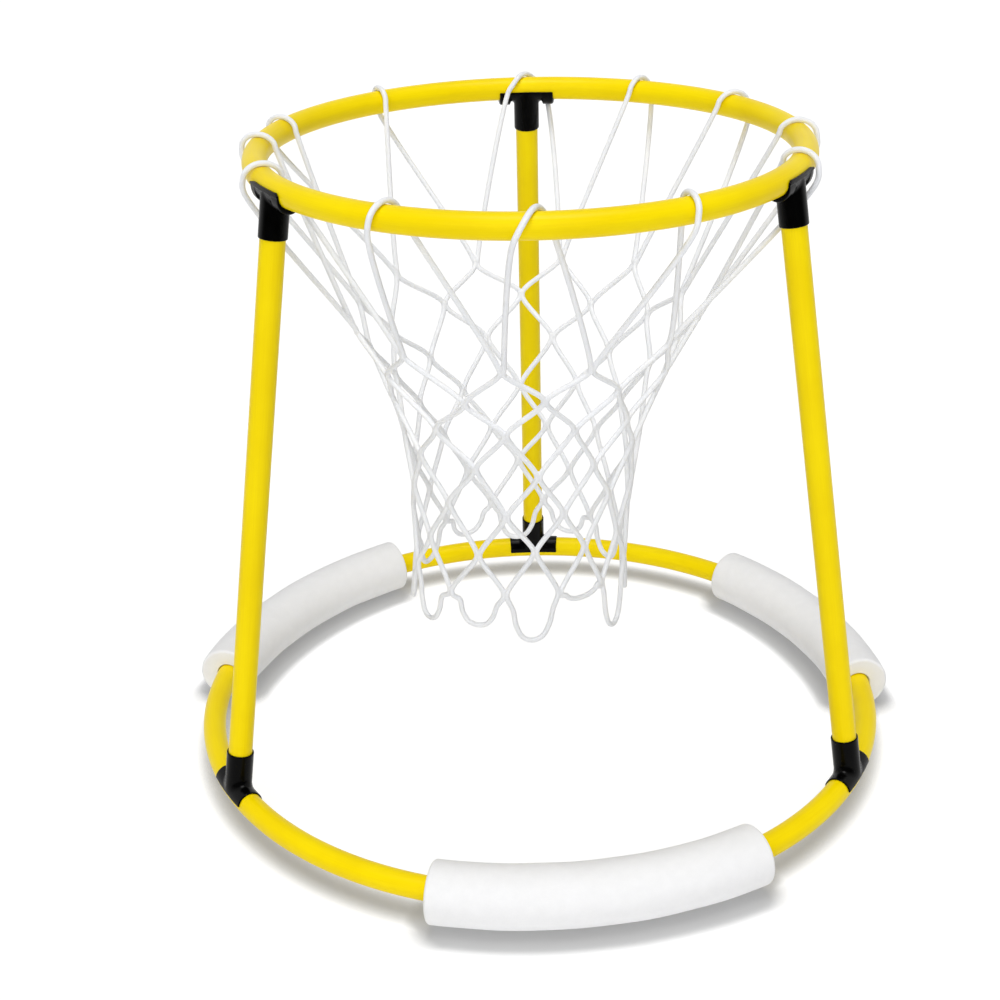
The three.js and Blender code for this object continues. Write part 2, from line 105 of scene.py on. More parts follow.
# Net cords and knots, which only the looks have
KNOT_PINCH = 0.82
KNOT_SIZE = (0.0042, 0.0027, 0.0058)
KNOT_REACH = 0.009
KNOT_BLEND = 0.005
CORD_STEP = 0.0012
NET_VOXEL = 0.0010
NET_SOFTENING, NET_SOFTEN_ROUNDS = 0.5, 8

# Tee forms
FIELD_STEP = 0.0007
LIP_LEVEL = TEE_RADIUS * math.cos(math.radians(91))
LOBE_LENGTH, LOBE_DROP, LOBE_BLEND = 0.012, 0.004, 0.0022
LOBE_CORNER = LOBE_BLEND * 1.4
LOBE_ROUNDING = 0.9
RAISED_LIP, RAISED_WALL, RAISED_CHAMFER = 0.0022, 0.0022, 0.0026
RAISED_TAPER, RAISED_STEP, RAISED_ROOT = 0.012, 0.004, 0.002
RIM_FILLET, BASE_FILLET, LEAST_FILLET = 0.0045, 0.0085, 0.0002
MOUTH_EDGE, END_EDGE, LIP_EDGE = 0.0014, 0.0012, 0.0008
TRIM_EDGE, BORE_EDGE, ROOT_EDGE = 0.0006, 0.0005, 0.0004

# Foam skin: how deep the foam round the bore follows the ring, and the unevenness outside
BORE_SKIN = 0.002
RELIEF_STARTS, RELIEF_FULL = FLOAT_RADIUS - 0.006, FLOAT_RADIUS - 0.002
RELIEF_HEIGHT, RELIEF_SINK = 0.00022, 0.0003

# Camera, fitted to the photo's outline of the two rings
FOCAL_SHARE = 1.7143
CAMERA_DISTANCE = 1.87827
CAMERA_RISE = math.radians(25.613)
CAMERA_ROLL = math.radians(-1.503)
CAMERA_TARGET = Vector((SHIFT_X - 0.03833, SHIFT_Y, 0.24864 + BASE_LEVEL))
SENSOR = 36.0
CLIP_START, CLIP_END = 0.01, 50

# Stage: the floor's paint and glow, its soft shade near the object, and what light bounces off
FLOOR_REACH, FLOOR_DROP = 12, 0.0002
FLOOR_PAINT, FLOOR_GLOW = 0.28, 0.82
BOUNCE_PAINT = 0.93
WORLD_LIGHT = 0.23
LAMP_DISTANCE = 3
# The floor is darkest where the open share of the sky is low, and clear where it is high
SHADE_REACH, SHADE_SAMPLES = 0.028, 12
SHADE_CLOSED, SHADE_OPEN, SHADE_DARKEST = 0.74, 0.97, 0.3
# Reflections find this share of the white up to the first Y, and all of it past the second
FRONT_SHARE = 0.02
FLOOR_FRONT, WORLD_FRONT = (-1.0, -0.1), (-0.5, 0.0)

WHITE = (1, 1, 1, 1)
TINY = 1e-6

# Braid of the net cord: one turn of a strand along the cord, and strands round it
BRAID_PITCH, BRAID_STRANDS = 0.0058, 4.0


def make_camera():
    """The photo's camera: in front of the hoop, above it and rolled a little."""
    back = Vector((0, -math.cos(CAMERA_RISE), math.sin(CAMERA_RISE)))
    up = Vector((0, math.sin(CAMERA_RISE), math.cos(CAMERA_RISE)))
    right = Vector((1, 0, 0))
    turned_right = math.cos(CAMERA_ROLL) * right + math.sin(CAMERA_ROLL) * up
    turned_up = math.cos(CAMERA_ROLL) * up - math.sin(CAMERA_ROLL) * right
    place = Matrix((turned_right, turned_up, back)).transposed().to_4x4()
    place.translation = CAMERA_TARGET + back * CAMERA_DISTANCE
    data = bpy.data.cameras.new("camera")
    data.sensor_width = SENSOR
    data.sensor_height = SENSOR
    data.lens = SENSOR * FOCAL_SHARE
    data.clip_start = CLIP_START
    data.clip_end = CLIP_END
    camera = bpy.data.objects.new("camera", data)
    camera.matrix_world = place
    bpy.context.scene.collection.objects.link(camera)
    bpy.context.scene.camera = camera


# Materials

class Nodes:
    """A short way to write a node tree: inputs are sockets or constant values."""

    def __init__(self, name):
        self.material = bpy.data.materials.new(name)
        self.material.use_nodes = True
        self.tree = self.material.node_tree
        self.shader = self.tree.nodes["Principled BSDF"]

    @classmethod
    def of_tree(cls, tree):
        n = cls.__new__(cls)
        n.tree = tree
        return n

    def put(self, socket, value):
        if isinstance(value, bpy.types.NodeSocket):
            self.tree.links.new(value, socket)
        else:
            socket.default_value = value

    def add(self, kind, settings=None, **inputs):
        node = self.tree.nodes.new(kind)
        for key, value in (settings or {}).items():
            setattr(node, key, value)
        for key, value in inputs.items():
            self.put(node.inputs[key.replace("_", " ")], value)
        return node

    def math(self, operation, a, b=0.0, c=0.0):
        node = self.add("ShaderNodeMath", {"operation": operation})
        for socket, value in zip(node.inputs, (a, b, c)):
            self.put(socket, value)
        return node.outputs[0]

    def scaled(self, vector, scale):
        node = self.add("ShaderNodeVectorMath", {"operation": "MULTIPLY"})
        self.put(node.inputs[0], vector)
        self.put(node.inputs[1], scale)
        return node.outputs[0]

    def noise(self, vector, scale, detail=2.0, roughness=0.5):
        return self.add("ShaderNodeTexNoise", Vector=vector, Scale=scale, Detail=detail,
                        Roughness=roughness).outputs["Fac"]

    def spread(self, value, low, high, to_low, to_high):
        node = self.add("ShaderNodeMapRange", Value=value, From_Min=low, From_Max=high,
                        To_Min=to_low, To_Max=to_high)
        return node.outputs[0]

    def mix(self, share, a, b):
        node = self.add("ShaderNodeMix", {"data_type": "RGBA"})
        for socket, value in zip((node.inputs[0], node.inputs[6], node.inputs[7]), (share, a, b)):
            self.put(socket, value)
        return node.outputs[2]

    def bump(self, height, distance, strength=1.0, normal=None):
        node = self.add("ShaderNodeBump", Height=height, Distance=distance, Strength=strength)
        if normal is not None:
            self.put(node.inputs["Normal"], normal)
        return node.outputs[0]

    def along(self):
        """Where a point is on a sweep: (cos, sin) round it and metres along it."""
        return self.add("ShaderNodeAttribute", {"attribute_name": "sweep"}).outputs["Vector"]

    def place(self):
        return self.add("ShaderNodeTexCoord").outputs["Object"]

    def surface(self, **inputs):
        for key, value in inputs.items():
            self.put(self.shader.inputs[key.replace("_", " ")], value)
        return self.material


def rgb(red, green, blue):
    """A colour given as screen values from 0 to 255, in the linear values that a shader takes."""
    def linear(value):
        share = value / 255
        return share / 12.92 if share <= 0.04045 else ((share + 0.055) / 1.055) ** 2.4
    return (linear(red), linear(green), linear(blue), 1.0)


def yellow_plastic():
    """Extruded yellow tube: faint streaks along it, a few handling scuffs, a satin gloss."""
    n = Nodes("yellow_tube_plastic")
    along, place = n.along(), n.place()
    streaks = n.noise(n.scaled(along, (3.0, 3.0, 1.5)), 9.0, 3.0, 0.55)
    clouds = n.noise(place, 14.0, 3.0)
    scuffs = n.noise(place, 900.0, 3.0, 0.7)
    tone = n.math("MULTIPLY", streaks, clouds)
    color = n.mix(n.spread(tone, 0.15, 0.36, 0, 1), rgb(246, 216, 0), rgb(252, 225, 2))
    rough = n.spread(n.math("ADD", streaks, n.math("MULTIPLY", scuffs, 0.4)), 0.4, 0.95, 0.27, 0.40)
    bump = n.bump(streaks, 0.00012, 0.5)
    bump = n.bump(scuffs, 0.00002, 0.5, bump)
    return n.surface(Base_Color=color, Roughness=rough, Normal=bump, Specular_IOR_Level=0.1)


def black_plastic():
    """Moulded black fittings with a fine grain."""
    n = Nodes("black_fitting_plastic")
    place = n.place()
    grain = n.noise(place, 1500.0, 2.0, 0.6)
    clouds = n.noise(place, 60.0, 3.0)
    color = n.mix(n.spread(clouds, 0.35, 0.65, 0, 1), rgb(2, 2, 2), rgb(6, 6, 6))
    rough = n.spread(clouds, 0.3, 0.7, 0.20, 0.28)
    return n.surface(Base_Color=color, Roughness=rough, Normal=n.bump(grain, 0.00002, 0.4),
                     Specular_IOR_Level=0.08)


def white_foam():
    """Closed-cell foam: tiny cells, soft dents and a faint mottle."""
    n = Nodes("white_foam_skin")
    place = n.place()
    cells = n.add("ShaderNodeTexVoronoi", {"feature": "SMOOTH_F1"}, Vector=place, Scale=620.0,
                  Smoothness=0.7).outputs["Distance"]
    pores = n.noise(place, 1700.0, 2.0, 0.6)
    dents = n.noise(place, 34.0, 3.0, 0.5)
    mottle = n.noise(place, 90.0, 4.0, 0.6)
    color = n.mix(n.spread(mottle, 0.35, 0.68, 0, 1), rgb(240, 240, 241), rgb(243, 243, 244))
    color = n.mix(n.spread(cells, 0.15, 0.75, 0.0, 0.08), color, rgb(228, 228, 229))
    bump = n.bump(dents, 0.0003, 0.2)
    bump = n.bump(cells, 0.00012, 0.4, bump)
    bump = n.bump(pores, 0.00005, 0.4, bump)
    rough = n.spread(pores, 0.3, 0.7, 0.74, 0.9)
    return n.surface(Base_Color=color, Roughness=rough, Normal=bump, Specular_IOR_Level=0.15,
                     Sheen_Weight=0.03, Sheen_Roughness=0.5)


def white_cord():
    """Braided net cord: two sets of strands that cross, painted shade in the grooves between them, and a
    little fuzz.
    """
    n = Nodes("white_net_cord")
    split = n.add("ShaderNodeSeparateXYZ", Vector=n.along())
    around = n.math("ARCTAN2", split.outputs["Y"], split.outputs["X"])
    length = n.math("MULTIPLY", split.outputs["Z"], 2 * math.pi / BRAID_PITCH)
    turns = n.math("MULTIPLY", around, BRAID_STRANDS)
    left = n.math("SINE", n.math("ADD", turns, length))
    right = n.math("SINE", n.math("SUBTRACT", turns, length))
    weave = n.math("MULTIPLY", n.math("ABSOLUTE", left), n.math("ABSOLUTE", right))
    place = n.place()
    fuzz = n.noise(place, 1300.0, 3.0, 0.65)
    tone = n.noise(place, 40.0, 3.0)
    color = n.mix(n.spread(tone, 0.3, 0.7, 0, 1), rgb(241, 243, 247), rgb(248, 249, 252))
    # Painted shade: the cord turns greyer in the grooves where the strands dip between each other.
    color = n.mix(n.spread(weave, 0.0, 0.35, 0.18, 0.0), color, rgb(208, 210, 214))
    bump = n.bump(weave, 0.00035, 0.5)
    bump = n.bump(fuzz, 0.00010, 0.5, bump)
    return n.surface(Base_Color=color, Roughness=0.82, Normal=bump, Specular_IOR_Level=0.15,
                     Sheen_Weight=0.05, Sheen_Roughness=0.4)


# Meshes

def smooth_step(value, low, high):
    """Rises from 0 at low to 1 at high, level at both ends."""
    share = np.clip((value - low) / (high - low), 0, 1)
    return share * share * (3 - 2 * share)


def smooth_max(a, b, blend):
    """The larger of two fields, rounded where they meet."""
    share = np.clip(0.5 + 0.5 * (a - b) / blend, 0, 1)
    return b + (a - b) * share + blend * share * (1 - share)


def smooth_min(a, b, blend):
    return -smooth_max(-a, -b, blend)


def moved(points, place):
    """Points carried by a matrix."""
    matrix = np.array(place)
    return points @ matrix[:3, :3].T + matrix[:3, 3]


def ring_place(level, angle):
    """Where a shape about a ring's middle goes, turned to an angle of the ring."""
    return Matrix.Translation((SHIFT_X, SHIFT_Y, level)) @ Matrix.Rotation(angle, 4, "Z")


def add_mesh(name, points, faces, sweep=None):
    """A smooth mesh object; sweep gives each point its place round and along a tube."""
    mesh = bpy.data.meshes.new(name)
    mesh.from_pydata(np.asarray(points, float).tolist(), [], [list(map(int, face)) for face in faces])
    mesh.update()
    mesh.validate()
    mesh.polygons.foreach_set("use_smooth", np.ones(len(mesh.polygons), bool))
    if sweep is not None:
        data = mesh.attributes.new("sweep", "FLOAT_VECTOR", "POINT")
        data.data.foreach_set("vector", np.asarray(sweep, np.float32).ravel())
    piece = bpy.data.objects.new(name, mesh)
    bpy.context.scene.collection.objects.link(piece)
    return piece


def dress(piece, body, material, slot, *nodes):
    """Gives a piece its material, the body it rides on and the CAD nodes it stands for; the slot is not
    used.
    """
    piece.data.materials.clear()
    piece.data.materials.append(material)
    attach(piece, body)
    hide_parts(*nodes)


def skin_faces(rows, columns):
    """Quads of a grid that closes on itself both ways, facing out for a clockwise row."""
    faces = []
    for i in range(rows):
        here, after = i * columns, ((i + 1) % rows) * columns
        for j in range(columns):
            k = (j + 1) % columns
            faces.append((here + j, after + j, after + k, here + k))
    return faces


def ring_points(radius, along, outward, up, level):
    """A point beside a ring's centre line, given metres along the ring."""
    angle = along / radius
    reach = radius + outward
    return np.stack([reach * np.cos(angle) + SHIFT_X, reach * np.sin(angle) + SHIFT_Y, level + up], -1)


def rounded_profile(half, outer, bore, edge, steps):
    """Stations (along, radius) once round a sleeve's wall: outer skin, end, bore, end."""
    corner_points = 9
    turn = np.linspace(0, math.pi / 2, corner_points)
    flat = np.linspace(-half + edge, half - edge, steps)
    skin = [(s, outer) for s in flat]
    right_edge = [(half - edge + edge * math.sin(t), outer - edge + edge * math.cos(t)) for t in turn[1:]]
    soft = edge / 2
    right_lip = [(half - soft + soft * math.cos(t), bore + soft - soft * math.sin(t)) for t in turn]
    hole = [(s, bore) for s in np.linspace(half - soft, -half + soft, steps)[1:-1]]
    left_lip = [(-s, r) for s, r in reversed(right_lip)]
    left_edge = [(-s, r) for s, r in reversed(right_edge)]
    return np.array(skin + right_edge + right_lip + hole + left_lip + left_edge)


def foam_relief(along, angles, radius):
    """Soft unevenness of a foam sleeve's skin, in metres: three waves along and round it."""
    share = smooth_step(radius, RELIEF_STARTS, RELIEF_FULL)
    waves = np.sin(41 * along + 1.3) * np.cos(2 * angles + 17 * along) \
        + 0.6 * np.sin(88 * along + 3 * angles) + 0.5 * np.cos(5 * angles - 31 * along)
    return share * (RELIEF_HEIGHT * waves - RELIEF_SINK)


def float_sleeve(name, length, middle):
    """A foam sleeve: its bore follows the base ring, its outer skin bends less."""
    sides = 72
    profile = rounded_profile(length / 2, FLOAT_RADIUS, FLOAT_BORE, FLOAT_EDGE, steps=91)
    half_chord = FLOAT_BEND * math.sin(length / 2 / FLOAT_BEND)
    rises = [radius - math.sqrt(radius ** 2 - half_chord ** 2) for radius in (BASE_RADIUS, FLOAT_BEND)]
    bend_centre = BASE_RADIUS - (rises[0] - rises[1]) / 2 - FLOAT_BEND
    angles = np.linspace(0, 2 * math.pi, sides, endpoint=False)[None, :]
    cos, sin = np.cos(angles), np.sin(angles)
    along = profile[:, 0][:, None] + 0 * cos
    radius = profile[:, 1][:, None] + 0 * cos
    turn = along / FLOAT_BEND
    on_ring = np.sqrt(BASE_RADIUS ** 2 - (bend_centre * np.sin(turn)) ** 2) - bend_centre * np.cos(turn)
    foam_share = smooth_step(radius, FLOAT_BORE + BORE_SKIN, FLOAT_RADIUS - FLOAT_EDGE)
    radius = radius + foam_relief(along, angles, radius)
    reach = on_ring + (FLOAT_BEND - on_ring) * foam_share + radius * cos
    local = np.stack([bend_centre + reach * np.cos(turn), reach * np.sin(turn), radius * sin], -1)
    place = ring_place(BASE_LEVEL, middle)
    sweep = np.stack([cos + 0 * along, sin + 0 * along, along], -1).reshape(-1, 3)
    faces = skin_faces(len(profile), sides)
    return add_mesh(name, moved(local.reshape(-1, 3), place), faces, sweep)


def ring_tube(name, radius, level):
    """A hollow tube bent round, its butt seam welded smooth."""
    steps, sides = 360, 48
    points, sweep, faces = [], [], []
    angles = np.linspace(0, 2 * math.pi, sides, endpoint=False)[None, :]
    along = (2 * math.pi * radius * np.arange(steps) / steps)[:, None] + 0 * angles
    cos, sin = np.cos(angles) + 0 * along, np.sin(angles) + 0 * along
    grid = skin_faces(steps, sides)
    for wall, inner in ((TUBE_RADIUS, False), (TUBE_RADIUS - TUBE_WALL, True)):
        start = len(points) * steps * sides
        points.append(ring_points(radius, along, wall * cos, wall * sin, level).reshape(-1, 3))
        sweep.append(np.stack([cos, sin, along], -1).reshape(-1, 3))
        faces += [tuple(i + start for i in (face[::-1] if inner else face)) for face in grid]
    return add_mesh(name, np.concatenate(points), faces, np.concatenate(sweep))


def leg_tube(name, angle):
    """A straight hollow leg, seated in a socket at each end."""
    sides = 64
    start, stop = TEE_SEAT + FACE_GAP, LEG_SPAN - TEE_SEAT - FACE_GAP
    inner = TUBE_RADIUS - TUBE_WALL
    profile = rounded_profile((stop - start) / 2, TUBE_RADIUS, inner, TUBE_WALL / 4, steps=61)
    angles = np.linspace(0, 2 * math.pi, sides, endpoint=False)
    cos, sin = np.cos(angles)[None, :], np.sin(angles)[None, :]
    along = profile[:, 0][:, None] + 0 * cos
    radius = profile[:, 1][:, None]
    local = np.stack([radius * cos, radius * sin, along + (start + stop) / 2], -1).reshape(-1, 3)
    sweep = np.stack([cos + 0 * along, sin + 0 * along, along], -1).reshape(-1, 3)
    lean = Matrix.Rotation(-LEG_TILT, 4, "Y")
    place = ring_place(BASE_LEVEL, angle) @ Matrix.Translation((BASE_RADIUS, 0, 0)) @ lean
    faces = [face[::-1] for face in skin_faces(len(profile), sides)]
    return add_mesh(name, moved(local, place), faces, sweep)


# Tees, meshed from a distance field

def tee_field(ring_radius, direction, reach, lobe, raised_side, fillet):
    """Distance to a tee's surface, for a tee at angle zero of a ring about the origin."""
    lean_x, lean_z = math.sin(LEG_TILT) * direction, -math.cos(LEG_TILT) * direction

    def field(x, y, z):
        outward = np.hypot(x, y) - ring_radius
        along = ring_radius * np.arctan2(y, x)
        distance = np.hypot(outward, z)
        depth = outward * lean_x + z * lean_z
        across = (outward * lean_z - z * lean_x) * -direction
        swell = smooth_step(np.abs(along), TEE_LENGTH / 2 - LOBE_LENGTH - LOBE_BLEND,
                            TEE_LENGTH / 2 - LOBE_LENGTH)
        past = np.clip(np.abs(along) - (TEE_LENGTH / 2 - LOBE_CORNER), 0, LOBE_CORNER)
        swell = swell * np.sqrt(1 - (past / LOBE_CORNER) ** 2 * LOBE_ROUNDING)
        falls = np.clip(depth / np.maximum(distance, TINY), 0, 1) ** 2
        saddle = distance - (TEE_RADIUS + lobe * swell * falls)
        lip = LIP_LEVEL + 0 * depth
        if raised_side:
            far = raised_side * along
            height = RAISED_LIP * (1 - smooth_step(far, TEE_LENGTH / 2 - RAISED_TAPER, TEE_LENGTH / 2))
            height = height * smooth_step(far, -TEE_LENGTH / 2, RAISED_STEP - TEE_LENGTH / 2)
            lip = lip - height * (across > 0)
            face = np.maximum(np.maximum(-depth - height, depth - RAISED_LIP),
                              across - (TEE_BORE + RAISED_WALL))
            slope = (across - TEE_BORE + depth) - (RAISED_WALL + RAISED_CHAMFER)
            face = smooth_max(smooth_max(face, slope, LIP_EDGE), TEE_BORE - RAISED_ROOT - across, ROOT_EDGE)
            saddle = smooth_min(saddle, face, LIP_EDGE)
        saddle = smooth_max(saddle, np.abs(along) - TEE_LENGTH / 2, END_EDGE)
        saddle = smooth_max(saddle, lip - depth, LIP_EDGE)
        local_x = x - ring_radius
        leg_depth = local_x * lean_x + z * lean_z
        beside = local_x * lean_z - z * lean_x
        off_axis = np.hypot(beside, y)
        socket = smooth_max(off_axis - TEE_RADIUS, leg_depth - reach, MOUTH_EDGE)
        socket = np.maximum(socket, LIP_LEVEL - leg_depth)
        flank = np.sqrt(np.clip(1 - (beside / TEE_RADIUS) ** 2, 0, 1))
        body = smooth_min(saddle, socket, np.maximum(fillet * flank, LEAST_FILLET))
        body = smooth_max(body, lip - depth, TRIM_EDGE)
        bore = np.maximum(off_axis - TEE_BORE, TEE_SEAT - leg_depth)
        body = smooth_max(body, -bore, BORE_EDGE)
        return smooth_max(body, TEE_BORE - distance, BORE_EDGE)

    return field


def surface_net(field, low, high, step):
    """Meshes the zero level of a field: one point in each cell that it crosses, moved onto it."""
    axes = [np.arange(a, b + step, step) for a, b in zip(low, high)]
    grid = np.stack(np.meshgrid(*axes, indexing="ij"), -1)
    values = field(grid[..., 0], grid[..., 1], grid[..., 2])
    size = [count - 1 for count in values.shape]
    offsets = [(a, b, c) for a in (0, 1) for b in (0, 1) for c in (0, 1)]

    def corner(array, offset):
        return array[tuple(slice(o, o + s) for o, s in zip(offset, size))]

    inside = sum((corner(values, o) < 0).astype(int) for o in offsets)
    mixed = (inside > 0) & (inside < 8)
    number = np.full(mixed.shape, -1)
    number[mixed] = np.arange(mixed.sum())
    total = np.zeros((mixed.sum(), 3))
    crossings = np.zeros(mixed.sum())
    for first in offsets:
        for axis in range(3):
            if first[axis]:
                continue
            second = tuple(1 if i == axis else o for i, o in enumerate(first))
            a, b = corner(values, first)[mixed], corner(values, second)[mixed]
            crossed = (a < 0) != (b < 0)
            share = np.where(crossed, a / np.where(crossed, a - b, 1), 0)[:, None]
            start, stop = corner(grid, first)[mixed], corner(grid, second)[mixed]
            total += np.where(crossed[:, None], start + share * (stop - start), 0)
            crossings += crossed
    points = total / crossings[:, None]
    faces = []
    for axis in range(3):
        u, v = [i for i in range(3) if i != axis]
        here = [slice(1, s) for s in size]
        here[axis] = slice(0, size[axis])
        low_side = values[tuple(here)]
        ahead = list(here)
        ahead[axis] = slice(1, size[axis] + 1)
        crossed = (low_side < 0) != (values[tuple(ahead)] < 0)
        cells = []
        for du, dv in ((1, 1), (0, 1), (0, 0), (1, 0)):
            pick = list(here)
            pick[u] = slice(1 - du, size[u] - du)
            pick[v] = slice(1 - dv, size[v] - dv)
            cells.append(number[tuple(pick)][crossed])
        quads = np.stack(cells, -1)
        flip = (low_side < 0)[crossed] if axis != 1 else ~(low_side < 0)[crossed]
        faces.append(np.where(flip[:, None], quads[:, ::-1], quads))
    projection_rounds, least_slope = 3, 0.25
    reach = step / 4
    for _ in range(projection_rounds):
        value = field(*points.T)
        slope = np.stack([
            (field(*(points + reach * unit).T) - field(*(points - reach * unit).T)) / (2 * reach)
            for unit in np.eye(3)
        ], -1)
        length = np.maximum((slope ** 2).sum(-1), least_slope)[:, None]
        points = points - np.clip(value[:, None] * slope / length, -reach, reach)
    return points, np.concatenate(faces)


def tee_mesh(ring_radius, direction, reach, **form):
    """A tee's mesh; direction is 1 for a socket that points down, -1 for one that points up."""
    field = tee_field(ring_radius, direction, reach, **form)
    side_room, edge_room = 0.002, 0.005
    side = TEE_LENGTH / 2 + side_room
    lean = reach * math.sin(LEG_TILT) * direction
    room = TEE_RADIUS + edge_room
    low = (ring_radius + min(0, lean) - room, -side, -room)
    high = (ring_radius + max(0, lean) + room, side, room)
    if direction > 0:
        low = (low[0], low[1], -reach - edge_room)
    else:
        high = (high[0], high[1], reach + edge_room)
    return surface_net(field, low, high, FIELD_STEP)


def place_tee(name, shape, angle, level):
    points, faces = shape
    return add_mesh(name, moved(points, ring_place(level, angle)), faces)


# Net

def net_radius(depth):
    """The net's radius at a depth under the rim's centre line."""
    depths = [share * NET_DROP for share in [0, *ROW_DEPTHS, 1]]
    flares = [1, *ROW_FLARES, HEM_FLARE]
    last = len(depths) - 2
    i = min(max(sum(d <= depth for d in depths) - 1, 0), last)
    share = (depth - depths[i]) / (depths[i + 1] - depths[i])
    flare = flares[i] + (flares[i + 1] - flares[i]) * share
    return WAIST_RADIUS + (RIM_RADIUS - WAIST_RADIUS) * flare


def beside_rim(angle, outward, up):
    reach = RIM_RADIUS + outward
    return Vector((reach * math.cos(angle) + SHIFT_X, reach * math.sin(angle) + SHIFT_Y, RIM_LEVEL + up))


def net_point(angle, depth):
    """A point on the net, which hangs a little to the left towards its hem."""
    swing = Vector((NET_SWING * depth / NET_DROP, 0, 0))
    return beside_rim(angle, net_radius(depth) - RIM_RADIUS, -depth) - swing


def loop_angle(k):
    """Where a cord loops over the rim: two loops keep clear of the side tees."""
    angle = k * PITCH
    if abs(angle - LEG_ANGLES["left"]) < PITCH / 2:
        return LEG_ANGLES["left"] - BESIDE_TEE
    if abs(angle - LEG_ANGLES["right"]) < PITCH / 2:
        return LEG_ANGLES["right"] + BESIDE_TEE
    return angle + LOOP_LEANS[k] * PITCH


def lean_of(column):
    k = column % LOOPS
    return loop_angle(k) - k * PITCH


def drift_of(column):
    return COLUMN_DRIFTS[column % LOOPS] * PITCH


def mean_between(value, column):
    return (value(column) + value(column + 1)) / 2


def knot(row, column):
    """Angle and depth of a knot: between two columns on even rows, on one column on odd rows."""
    if row % 2:
        angle = column * PITCH + drift_of(column) + lean_of(column) * ROW_LEANS[row]
    else:
        lean = mean_between(lean_of, column) * ROW_LEANS[row]
        angle = (column + 0.5) * PITCH + mean_between(drift_of, column) + lean
    wave = math.sin(WAVE_COLUMN_STEP * (column % LOOPS + 1) + WAVE_ROW_STEP * row)
    return angle, NET_DROP * ROW_DEPTHS[row] + ROW_WAVE * wave


def column_side(k, side):
    """One side of a cord's column, from its first knot to its last."""
    points = []
    for row in range(len(ROW_DEPTHS)):
        between = row % 2 == 0
        angle, depth = knot(row, k - 1 if between and side < 0 else k)
        inset = (CORD_RADIUS + NODE_GAP / 2) * (-side if between else side) * KNOT_PINCH
        angle += inset / net_radius(depth)
        points += [net_point(angle, depth - NODE_LENGTH / 2), net_point(angle, depth + NODE_LENGTH / 2)]
    return points


def rim_loop(k):
    """The cord's loop over the rim, from inside it to outside and back under."""
    over = TUBE_RADIUS + CORD_RADIUS + FIT_GAP
    beside = TUBE_RADIUS + CORD_RADIUS + LOOP_SIDE_GAP
    under = TUBE_RADIUS + CORD_RADIUS + LOOP_UNDER_GAP
    astride = any(abs(loop_angle(k) - tee) < BESIDE_TEE / 2 for tee in LEG_ANGLES.values())
    spread = ASTRIDE_SPREAD if astride else SLANTED_SPREAD if k == SLANTED_LOOP else LOOP_SPREAD
    spread /= RIM_RADIUS
    points = []
    for share in LOOP_SHARES:
        wrap = share * math.pi / 2
        out, lift = (under, under) if share < 0 else (beside, over)
        points.append(beside_rim(loop_angle(k) + spread * (share - 1), out * math.cos(wrap),
                                 lift * math.sin(wrap)))
    return points


def hem_loop(k):
    """The loop that hangs under the last row of knots."""
    def point(width, depth):
        drop = (NET_DROP - HEM_TOP) * HEM_DROPS[k]
        return net_point(k * PITCH + drift_of(k) + width * PITCH / 2, HEM_TOP + drop * depth)

    low = [point(-width, depth) for width, depth in zip(HEM_WIDTHS, HEM_DEPTHS)]
    high = [point(width, depth) for width, depth in zip(HEM_WIDTHS, HEM_DEPTHS)]
    return [*low, point(0, 1), *high[::-1]]


def smooth_route(points):
    """A closed curve through the points, at even steps: Catmull-Rom with centripetal spacing."""
    count = len(points)
    samples = []
    for i in range(count):
        p0, p1, p2, p3 = (points[(i + j) % count] for j in (-1, 0, 1, 2))
        t1 = max((p1 - p0).length, TINY) ** 0.5
        t2 = t1 + max((p2 - p1).length, TINY) ** 0.5
        t3 = t2 + max((p3 - p2).length, TINY) ** 0.5
        steps = max(2, round((p2 - p1).length / CORD_STEP))
        for j in range(steps):
            t = t1 + (t2 - t1) * j / steps
            a1 = p0 * ((t1 - t) / t1) + p1 * (t / t1)
            a2 = p1 * ((t2 - t) / (t2 - t1)) + p2 * ((t - t1) / (t2 - t1))
            a3 = p2 * ((t3 - t) / (t3 - t2)) + p3 * ((t - t2) / (t3 - t2))
            b1 = a1 * ((t2 - t) / t2) + a2 * (t / t2)
            b2 = a2 * ((t3 - t) / (t3 - t1)) + a3 * ((t - t1) / (t3 - t1))
            samples.append(b1 * ((t2 - t) / (t2 - t1)) + b2 * ((t - t1) / (t2 - t1)))
    return np.array(samples)


def route_frames(route):
    """Tangent and two steady cross directions at each point of a closed route."""
    steepest = 0.9
    tangent = np.roll(route, -1, 0) - np.roll(route, 1, 0)
    tangent /= np.linalg.norm(tangent, axis=1)[:, None]
    normals = np.zeros_like(route)
    normal = np.cross(tangent[0], (0, 0, 1.0)) if abs(tangent[0][2]) < steepest else np.array((1.0, 0, 0))
    for i, t in enumerate(tangent):
        normal = normal - t * normal.dot(t)
        normal /= np.linalg.norm(normal)
        normals[i] = normal
    return tangent, normals, np.cross(tangent, normals)


def tube_round(route, radius, sides=10):
    """A tube along a closed route."""
    tangent, normal, side = route_frames(route)
    angles = np.linspace(0, 2 * math.pi, sides, endpoint=False)
    cos, sin = np.cos(angles)[None, :, None], np.sin(angles)[None, :, None]
    points = route[:, None] + radius * (cos * normal[:, None] + sin * side[:, None])
    faces = [face[::-1] for face in skin_faces(len(route), sides)]
    return points.reshape(-1, 3), faces


